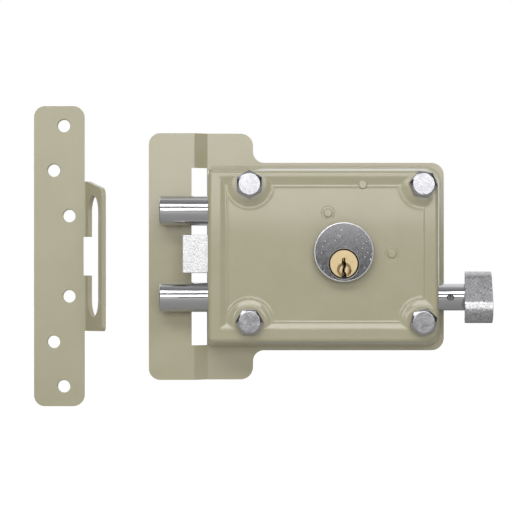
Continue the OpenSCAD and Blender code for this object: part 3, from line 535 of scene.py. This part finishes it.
end_chamfer = 0.8 * MM
lug_x0, lug_x1 = -46.05 * MM, -41.35 * MM
lug_front_y = bolt_y - 1.1 * MM
for name, node, z in (("upper_deadbolt", "deadbolt_upper", upper_z),
                      ("lower_deadbolt", "deadbolt_lower", lower_z)):
    bar = rod(name, (upper_low.x, bolt_y, z), upper_high.x - upper_low.x, bolt_r, "X", 96)
    pick(bar, lambda c, n: n.x < -0.9, "FACE")
    bpy.ops.mesh.bevel(offset=end_chamfer, segments=3, affect="EDGES")
    done()
    combine(bar, box("slot", (lug_x0, lug_front_y, z - 2 * bolt_r),
                     (lug_x1, bolt_y + 2 * bolt_r, z + 2 * bolt_r)))
    only(bar)
    bpy.ops.object.shade_smooth_by_angle(angle=math.radians(30))
    finish_piece(bar, drawn, "chromed_steel", "deadbolts", node)

block_x1 = latch_high.x - 4 * MM
nose, slope_len = 3.2 * MM, 12.5 * MM
rebate_x = -48 * MM
tail_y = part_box("latch_tail")[1].y - 2.5 * MM
latch = box("spring_latch", latch_low, (block_x1, latch_high.y, latch_high.z))
slice_at(latch, (latch_low.x + slope_len, 0, 0), (1, 0, 0))
pick(latch, lambda p: p.x < latch_low.x + 0.1 * MM and p.y > latch_high.y - 0.1 * MM)
bpy.ops.transform.translate(value=(0, latch_low.y + nose - latch_high.y, 0))
done()
combine(latch, box("rebate", (rebate_x, tail_y, latch_low.z - MM),
                   (latch_high.x, latch_high.y + MM, latch_high.z + MM)))
soften(latch, 0.45 * MM, 3)
finish_piece(latch, bright_cast, "cast_zinc", "latch", "latch_bolt")


# Pull knob: a chromed casting, an oval grip across the end of a round neck, fixed on the
# draw rod by a split pin. Pulling it away from the case draws the latch.
grip_low, grip_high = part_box("pull_knob")
grip_len, grip_long, grip_short = 15.9 * MM, 29.8 * MM, 16 * MM
grip_turn = math.radians(33)
grip_x0 = grip_high.x - grip_len
pin_low, pin_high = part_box("roll_pin")
pin_x = (pin_low.x + pin_high.x) / 2

spare = 0.7 * MM
end_x0, end_x1 = grip_x0 + spare, grip_high.x - 0.75 * MM
rod_bore_r, pin_hole_r = 4 * MM, 1.36 * MM
sink_r, sink_foot_r, sink_depth = 2 * MM, 1.3 * MM, 0.9 * MM
inner_lean, outer_lean = 0.14, -0.064
grip = rod("grip", (grip_x0 - spare, 0, 0), grip_len + spare, grip_short / 2, "X", 96)
slice_at(grip, (0, 0, 0), (0, 0, 1))
for way in (1, -1):
    pick(grip, lambda p: p.z * way > 0.01 * MM or (abs(p.z) < 0.01 * MM and way > 0))
    bpy.ops.transform.translate(value=(0, 0, way * (grip_long - grip_short) / 2))
    done()
grip.rotation_euler.x = -grip_turn
grip.location = (0, bolt_y, lower_z)
only(grip)
bpy.ops.object.transform_apply(location=True, rotation=True)
for x, facing in ((end_x0, (-1, inner_lean, 0)), (end_x1, (1, outer_lean, 0))):
    only(grip)
    bpy.ops.object.mode_set(mode="EDIT")
    bpy.ops.mesh.select_all(action="SELECT")
    bpy.ops.mesh.bisect(plane_co=(x, bolt_y, 0), plane_no=facing, use_fill=True, clear_outer=True)
    done()
soften(grip, 0.7 * MM, 4, 50)
neck = rod("neck", (grip_low.x, bolt_y, lower_z), grip_x0 + 2 * MM - grip_low.x, neck_r, "X", 96)
combine(neck, rod("bore", (grip_low.x - MM, bolt_y, lower_z), grip_x0 - 3 * MM - grip_low.x + MM,
                  rod_bore_r, "X"))
combine(neck, rod("pin_hole", (pin_x, bolt_y - 2 * neck_r, lower_z), 4 * neck_r, pin_hole_r,
                  sides=32))
combine(neck, rod("countersink", (pin_x, bolt_y - neck_r - 0.1 * MM, lower_z), sink_depth,
                  sink_r, sides=32, end_radius=sink_foot_r))
soften(neck, 0.25 * MM)
knob = join("pull_knob_casting", grip, neck)
finish_piece(knob, cast, "cast_zinc", "pull", "pull_knob")
knob.data.materials.append(drawn)
for face in knob.data.polygons:
    if face.center.x < end_x0 - 0.1 * MM:
        face.material_index = 1

zinc = chrome("zinc_plated_steel", "A9ABAF", (0.28, 0.42), 0.01 * MM)
pin = from_frame("split_pin", "roll_pin")
soften(pin, 0.12 * MM)
finish_piece(pin, chrome("spring_steel", "85868B", (0.3, 0.4), 0.01 * MM), "zinc_steel", "pull",
             "roll_pin")


# Key cylinder: a turned and nickelled head with a bevelled rim stands in front of the
# panel, and a brass plug with the keyway turns in it, a little below the middle.
head_low, head_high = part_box("cylinder_body")
plug_low, plug_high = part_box("cylinder_plug")
plug_z = -5.6 * MM
head_r = (head_high.x - head_low.x) / 2
bore_r, collar_r, core_r = 6.42 * MM, 7.2 * MM, 6.35 * MM
seat_r, mouth_r = collar_r + 0.8 * MM, collar_r + 1.15 * MM
seat_depth, mouth_depth, step_depth = 2 * MM, 0.35 * MM, 3.55 * MM
rim_bevel = 0.7 * MM
panel_y = rim_y + panel_sink


def turned(name, code, rough, rings, depth, x, z, nicks=0.0):
    """Turned metal with fine rings about the axis it was turned on, and a few nicks."""
    made, tree, shader, place = new_material(name)
    shader.inputs["Metallic"].default_value = 1
    shader.inputs["Base Color"].default_value = colour(code)
    tree.links.new(blotches(tree, place, 500, rough[0], rough[1], 5), shader.inputs["Roughness"])
    centred = add(tree, "Mapping", ("Vector", place), Location=(-x, 0, -z))
    wave = add(tree, "TexWave", ("Vector", centred.outputs[0]), wave_type="RINGS",
               rings_direction="Y", Scale=rings, Distortion=1.5, Detail=2)
    turned_rings = bumps(tree, shader, wave.outputs[1], 0.2, depth)
    if nicks:
        spots = add(tree, "TexNoise", ("Vector", place), Scale=700, Detail=3)
        few = add(tree, "MapRange", ("Value", spots.outputs[0]), From_Min=0.63, From_Max=0.67)
        mix = add(tree, "Mix", ("Factor", few.outputs[0]), data_type="RGBA")
        mix.inputs[6].default_value = colour(code)
        mix.inputs[7].default_value = colour("FFFFFF")
        tree.links.new(mix.outputs[2], shader.inputs["Base Color"])
        dents = add(tree, "Bump", ("Height", few.outputs[0]), ("Normal", turned_rings.outputs[0]),
                    Strength=1.0, Distance=nicks, invert=True)
        tree.links.new(dents.outputs[0], shader.inputs["Normal"])
    return made


nickel = turned("turned_nickel", "8C8C8F", (0.13, 0.19), 260, 0.006 * MM, cylinder_x, cylinder_z,
                nicks=0.12 * MM)
# Painted highlight: a near-white material for the rim's bevel and the mouth's chamfer, drawn as the
# bright line they catch.
rim_highlight = chrome("painted_highlight_rim", "F2F2F3", (0.36, 0.5), 0.01 * MM)
yellow = turned("turned_brass", "D0BB92", (0.26, 0.36), 320, 0.015 * MM, cylinder_x, plug_z)

# Painted shade: a near-black material for the hollows of the cylinder, the seat round the plug and
# the keyway, where shade falls.
shade, tree, shader, place = new_material("painted_shade_in_recesses")
tree.links.new(blotches(tree, place, 400, 0.5, 0.7), shader.inputs["Roughness"])
shader.inputs["Base Color"].default_value = colour("1C1A17")

body = rod("cylinder_head", (cylinder_x, head_low.y, cylinder_z), panel_y - head_low.y, head_r,
           sides=128)
pick(body, lambda c, n: n.y < -0.9, "FACE")
bpy.ops.mesh.bevel(offset=rim_bevel, segments=3, affect="EDGES")
done()
barrel = rod("barrel", (cylinder_x, panel_y - 0.1 * MM, cylinder_z),
             head_high.y - panel_y + 0.1 * MM, barrel_r, sides=96)
combine(body, barrel, "UNION")
combine(body, rod("seat", (cylinder_x, head_low.y - MM, plug_z), seat_depth + MM, seat_r,
                  sides=96))
combine(body, rod("mouth", (cylinder_x, head_low.y - 0.01 * MM, plug_z),
                  mouth_depth + 0.01 * MM, mouth_r, sides=96, end_radius=seat_r - 0.01 * MM))
combine(body, rod("step", (cylinder_x, head_low.y - MM, plug_z), step_depth + MM,
                  collar_r + 0.12 * MM, sides=96))
combine(body, rod("bore", (cylinder_x, head_low.y, plug_z), 2 * (head_high.y - head_low.y),
                  bore_r, sides=96))
soften(body, 0.12 * MM, 2, 30)
finish_piece(body, nickel, "nickelled_brass", "case", "cylinder_body")
body.data.materials.append(shade)
body.data.materials.append(rim_highlight)
for face in body.data.polygons:
    spot = face.center
    from_plug = math.hypot(spot.x - cylinder_x, spot.z - plug_z)
    from_middle = math.hypot(spot.x - cylinder_x, spot.z - cylinder_z)
    # Painted shade: the seat's faces behind the mouth get the near-black material.
    if from_plug < seat_r + 0.01 * MM and spot.y > head_low.y + mouth_depth + 0.01 * MM:
        face.material_index = 1
    # Painted highlight: sloped faces on the rim bevel and round the mouth get the near-white
    # material.
    elif -0.998 < face.normal.y < -0.5 and spot.y < head_low.y + 0.5 * MM:
        if from_plug < mouth_r + 0.1 * MM or from_middle > head_r - rim_bevel:
            face.material_index = 2


def prism(name, points, y0, y1):
    """A block with the outline of some points round (0, 0), between two depths."""
    bpy.ops.object.select_all(action="DESELECT")
    bpy.ops.mesh.primitive_circle_add(vertices=len(points), fill_type="NGON")
    piece = name_piece(name)
    for corner, (x, z) in zip(piece.data.vertices, points):
        corner.co = (x * MM, y0, z * MM)
    pick(piece, lambda c, n: True, "FACE")
    bpy.ops.mesh.extrude_region_move(TRANSFORM_OT_translate={"value": (0, y1 - y0, 0)})
    bpy.ops.mesh.select_all(action="SELECT")
    bpy.ops.mesh.normals_make_consistent(inside=False)
    done()
    return piece


keyway = [(-0.75, 3.1), (0.75, 3.1), (0.75, 1.6), (1.15, 0.4), (1.15, -1.9), (0.5, -2.9),
          (0.5, -4), (1.3, -5), (1.5, -8.2), (-1.1, -8.2), (-1.1, -3.4), (-0.6, -2.2),
          (-0.6, -0.6), (-1.1, 0.2), (-1.1, 1.2)]
collar_len = 2.9 * MM
dish_x, dish_z, dish_depth = cylinder_x + 0.2 * MM, plug_z - 3.2 * MM, 1.3 * MM
dish_r, dish_foot_r = 3.9 * MM, 2.4 * MM
collar = rod("collar", (cylinder_x, plug_low.y, plug_z), collar_len, collar_r, sides=96)
core = rod("core", (cylinder_x, plug_low.y + 2 * MM, plug_z), plug_high.y - plug_low.y - 2 * MM,
           core_r, sides=96)
combine(collar, core, "UNION")
dish = rod("dish", (dish_x, plug_low.y - 0.01 * MM, dish_z), dish_depth, dish_r, sides=72,
           end_radius=dish_foot_r)
combine(collar, dish)
slit = prism("slit", keyway, plug_low.y - MM, plug_high.y - 3 * MM)
slit.location = (cylinder_x, 0, plug_z)
only(slit)
bpy.ops.object.transform_apply(location=True)
combine(collar, slit)
collar.name = collar.data.name = "brass_plug"
soften(collar, 0.15 * MM, 2, 30)
finish_piece(collar, yellow, "brass", "key_plug", "cylinder_plug")
collar.data.materials.append(shade)
# Painted shade: the keyway's walls near the front get the near-black material.
for face in collar.data.polygons:
    spot = face.center
    in_slit = abs(spot.x - cylinder_x) < 1.8 * MM and abs(face.normal.y) < 0.3
    in_front = spot.z < plug_z + 3.3 * MM and spot.y < plug_high.y - 3 * MM
    if in_slit and in_front and spot.y > plug_low.y + 0.4 * MM and abs(spot.z - plug_z) < 8.3 * MM:
        face.material_index = 1


# Strike plate: 2.3 mm sheet in a duller coat of the same colour, with six screw holes. Its
# tab is folded up beside the bolts and leans over, and its slot takes deadbolts and latch.
strike_low, strike_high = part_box("strike_plate")
strike_t = 2.3 * MM
strike_x1 = strike_low.x + 27.4 * MM
strike_z = (strike_low.z + strike_high.z) / 2
bend_r = 1.4 * MM
tab_lean = math.radians(23)
tab_len, tab_w, tab_slope, foot_slope = 28 * MM, 81.4 * MM, 5.2 * MM, 1.1 * MM
tab_top_r, tab_foot_r, plate_corner_r = 4 * MM, 2.6 * MM, 6 * MM
screw_r, screw_bevel = 3.4 * MM, 0.6 * MM
screw_places = [(16.3, 71), (10.8, 46.7), (19.2, 21.9)]
notch = 10.5 * MM
bolt_pitch = upper_z - lower_z

strike = box("strike_pressing", (strike_low.x, -strike_t, strike_low.z),
             (strike_x1, 0, strike_high.z))
for x in (strike_low.x, strike_x1):
    for z in (strike_low.z, strike_high.z):
        round_corner(strike, x, z, plate_corner_r)
for way in (-1, 1):
    slice_at(strike, (0, 0, strike_z + way * tab_w / 2), (0, 0, 1))
pick(strike, lambda c, n: n.x > 0.9 and abs(c.z - strike_z) < tab_w / 3, "FACE")
bpy.ops.mesh.spin(steps=8, angle=math.pi / 2 - tab_lean, axis=(0, 0, 1),
                  center=(strike_x1, -strike_t - bend_r, 0))
reach = Vector((math.sin(tab_lean), -math.cos(tab_lean), 0)) * tab_len
bpy.ops.mesh.extrude_region_move(TRANSFORM_OT_translate={"value": reach})
done()
free_x = strike_x1 + bend_r * math.cos(tab_lean) + reach.x - 0.5 * MM
for way, drop in ((1, -tab_slope), (-1, foot_slope)):
    pick(strike, lambda p: p.x > free_x and (p.z - strike_z) * way > 0)
    bpy.ops.transform.translate(value=(0, 0, drop))
    done()
for way, radius in ((1, tab_top_r), (-1, tab_foot_r)):
    pick(strike, lambda a, b: min(a.x, b.x) > free_x and abs(a.z - b.z) < 0.1 * MM
         and (a.z - strike_z) * way > 0, "EDGE")
    bpy.ops.mesh.bevel(offset=radius, segments=8, affect="EDGES")
    done()
slot_half = (bolt_r + slide_gap + strike_t / 2 * math.sin(tab_lean)) / math.cos(tab_lean)
foot = Vector((strike_x1 + bend_r * math.cos(tab_lean),
               -strike_t - bend_r * (1 - math.sin(tab_lean)), 0))
slot_u = (foot.y + strike_t / 2 * math.sin(tab_lean) - bolt_y) / math.cos(tab_lean)
slot_tool = rod("slot", (-2 * strike_t, 0, 0), 5 * strike_t, slot_half, "X", 64)
slice_at(slot_tool, (0, 0, 0), (0, 0, 1))
pick(slot_tool, lambda p: p.z > 0.01 * MM)
bpy.ops.transform.translate(value=(0, 0, bolt_pitch / 2))
done()
pick(slot_tool, lambda p: p.z < 0.01 * MM)
bpy.ops.transform.translate(value=(0, 0, -bolt_pitch / 2))
done()
slot_tool.rotation_euler.z = tab_lean
slot_tool.location = foot + reach.normalized() * slot_u + Vector((0, 0, strike_z))
only(slot_tool)
bpy.ops.object.transform_apply(location=True, rotation=True)
combine(strike, slot_tool)
combine(strike, box("notch", (strike_x1 - 0.6 * MM, -3 * strike_t, strike_z - notch),
                    (strike_x1 + 3 * strike_t, MM, strike_z + notch)))
for x, z in screw_places:
    for way in (-1, 1):
        spot = (strike_low.x + x * MM, -beyond, strike_z + way * z * MM)
        combine(strike, rod("hole", spot, 2 * beyond, screw_r, sides=48))


def on_front_of_hole(p):
    """Is a corner of the mesh on the front edge of a screw hole?"""
    near = [math.hypot(p.x - strike_low.x - x * MM, p.z - strike_z - way * z * MM)
            for x, z in screw_places for way in (-1, 1)]
    return p.y < -strike_t + 0.05 * MM and min(near) < screw_r + 0.05 * MM


pick(strike, lambda a, b: on_front_of_hole(a) and on_front_of_hole(b), "EDGE")
bpy.ops.mesh.bevel(offset=screw_bevel, segments=3, affect="EDGES")
done()
soften(strike, 0.35 * MM, 3, 32)
finish_piece(strike, powder_coat("powder_coat_duller", 0.5), "painted_steel", "case", "strike_plate")


# Works inside the case: the bolts' carriage, pinion, spindle, guides, springs and pins, of
# zinc plated steel or brass, riveted and screwed in. They stay as the frame has them, and
# each gets the finish of its own metal.
dull_brass = turned("plain_brass", "CFA765", (0.3, 0.4), 300, 0.01 * MM, cylinder_x, plug_z)
for part in frame["record"]["subparts"]:
    node = frame["nodes"][part["node"]]
    if part["material_slot"] in ("zinc_steel", "brass"):
        node.data.materials.clear()
        node.data.materials.append(zinc if part["material_slot"] == "zinc_steel" else dull_brass)


# Studio: a grey room that the chrome mirrors, white behind the lock, with a long softbox above
# the camera and one low in front. A pale floor lies under the lock. The camera stands straight
# in front of it.
floor_z = plate_low.z - 60 * MM
floor_light, floor_share = 1.24, 0.8
floor = box("floor", (-3, -3, floor_z - 2 * MM), (3, 3, floor_z))
pale, tree, shader = new_material("pale_floor")[:3]
shader.inputs["Base Color"].default_value = colour("E0E0DE")
shader.inputs["Roughness"].default_value = 0.9
white = add(tree, "Emission", Color=(1, 1, 1, 1), Strength=floor_light)
path = add(tree, "LightPath")
share = add(tree, "Math", (0, path.outputs["Is Camera Ray"]), operation="MULTIPLY")
share.inputs[1].default_value = floor_share
blend = add(tree, "MixShader", (0, share.outputs[0]), (1, shader.outputs["BSDF"]),
            (2, white.outputs[0]))
surface = next(node for node in tree.nodes if node.type == "OUTPUT_MATERIAL").inputs[0]
tree.links.new(blend.outputs[0], surface)
floor.data.materials.append(pale)

room_floor, room_top, wall_grey = 0.2, 0.62, 0.12
room_levels = ((-13, 0.2), (-5, 0.03), (1.5, 0.03), (2.3, 0.1), (20, 0.05), (31, 0.05),
               (50, 0.24), (72, 0.34))
world = bpy.data.worlds.new("grey_studio")
bpy.context.scene.world = world
world.use_nodes = True
tree = world.node_tree
tree.nodes.clear()
way = add(tree, "TexCoord").outputs["Generated"]
parts = add(tree, "SeparateXYZ", ("Vector", way))
rise = add(tree, "Math", (0, parts.outputs[2]), operation="ARCSINE")
room = add(tree, "ValToRGB", ("Fac", add(tree, "MapRange", ("Value", rise.outputs[0]),
                                         From_Min=-math.pi / 2, From_Max=math.pi / 2).outputs[0]))
ramp = room.color_ramp
ramp.elements[0].position, ramp.elements[0].color = 0, [room_floor] * 3 + [1]
ramp.elements[1].position, ramp.elements[1].color = 1, [room_top] * 3 + [1]
for degrees, level in room_levels:
    ramp.elements.new(0.5 + degrees / 180).color = [level] * 3 + [1]
behind = add(tree, "MapRange", ("Value", parts.outputs[1]), From_Min=0.0, From_Max=0.3)
path = add(tree, "LightPath")
mirrored = add(tree, "Math", (0, path.outputs["Is Glossy Ray"]),
               (1, path.outputs["Is Transmission Ray"]), operation="MAXIMUM")
back_wall = add(tree, "Mix", ("Factor", mirrored.outputs[0]), data_type="RGBA")
back_wall.inputs[6].default_value = [wall_grey] * 3 + [1]
back_wall.inputs[7].default_value = (1, 1, 1, 1)
seen = add(tree, "Mix", ("Factor", behind.outputs[0]), data_type="RGBA")
tree.links.new(room.outputs[0], seen.inputs[6])
tree.links.new(back_wall.outputs[2], seen.inputs[7])
shown = add(tree, "Mix", ("Factor", path.outputs["Is Camera Ray"]), data_type="RGBA")
tree.links.new(seen.outputs[2], shown.inputs[6])
shown.inputs[7].default_value = (1, 1, 1, 1)
sky = add(tree, "Background", ("Color", shown.outputs[2]), Strength=1.0)
add(tree, "OutputWorld", ("Surface", sky.outputs[0]))

lock_middle = Vector((-40 * MM, 0, 0))


def softbox(name, width, low, high, distance, azimuth, brightness):
    """A lamp with a white front, between two elevations in degrees, facing the lock."""
    a, e = math.radians(azimuth), math.radians((low + high) / 2)
    height = 2 * distance * math.tan(math.radians(high - low) / 2)
    lamp = bpy.data.lights.new(name, "AREA")
    lamp.shape, lamp.size, lamp.size_y = "RECTANGLE", width, height
    lamp.energy = brightness * math.pi * width * height
    holder = bpy.data.objects.new(name, lamp)
    bpy.context.scene.collection.objects.link(holder)
    back = Vector((math.sin(a) * math.cos(e), -math.cos(a) * math.cos(e), math.sin(e)))
    holder.location = lock_middle + back * distance
    holder.rotation_euler = back.to_track_quat("Z", "Y").to_euler()


softbox("softbox_above", width=1.8, low=32.5, high=49.5, distance=1.4, azimuth=-10,
        brightness=3.9)
softbox("softbox_front", width=1.8, low=2, high=20, distance=1.4, azimuth=0, brightness=2.6)

camera_distance = 0.8
picture_width = 512 * 0.53 * MM
aim = Vector((-42.5 * MM, rim_y, -1.5 * MM))
camera = bpy.data.cameras.new("camera")
camera.sensor_width = 36
camera.lens = camera.sensor_width * camera_distance / picture_width
holder = bpy.data.objects.new("camera", camera)
bpy.context.scene.collection.objects.link(holder)
back = Vector((0, -1, 0))
holder.location = aim + back * camera_distance
holder.rotation_euler = back.to_track_quat("Z", "Y").to_euler()
bpy.context.scene.camera = holder
bpy.context.scene.view_settings.view_transform = "Standard"
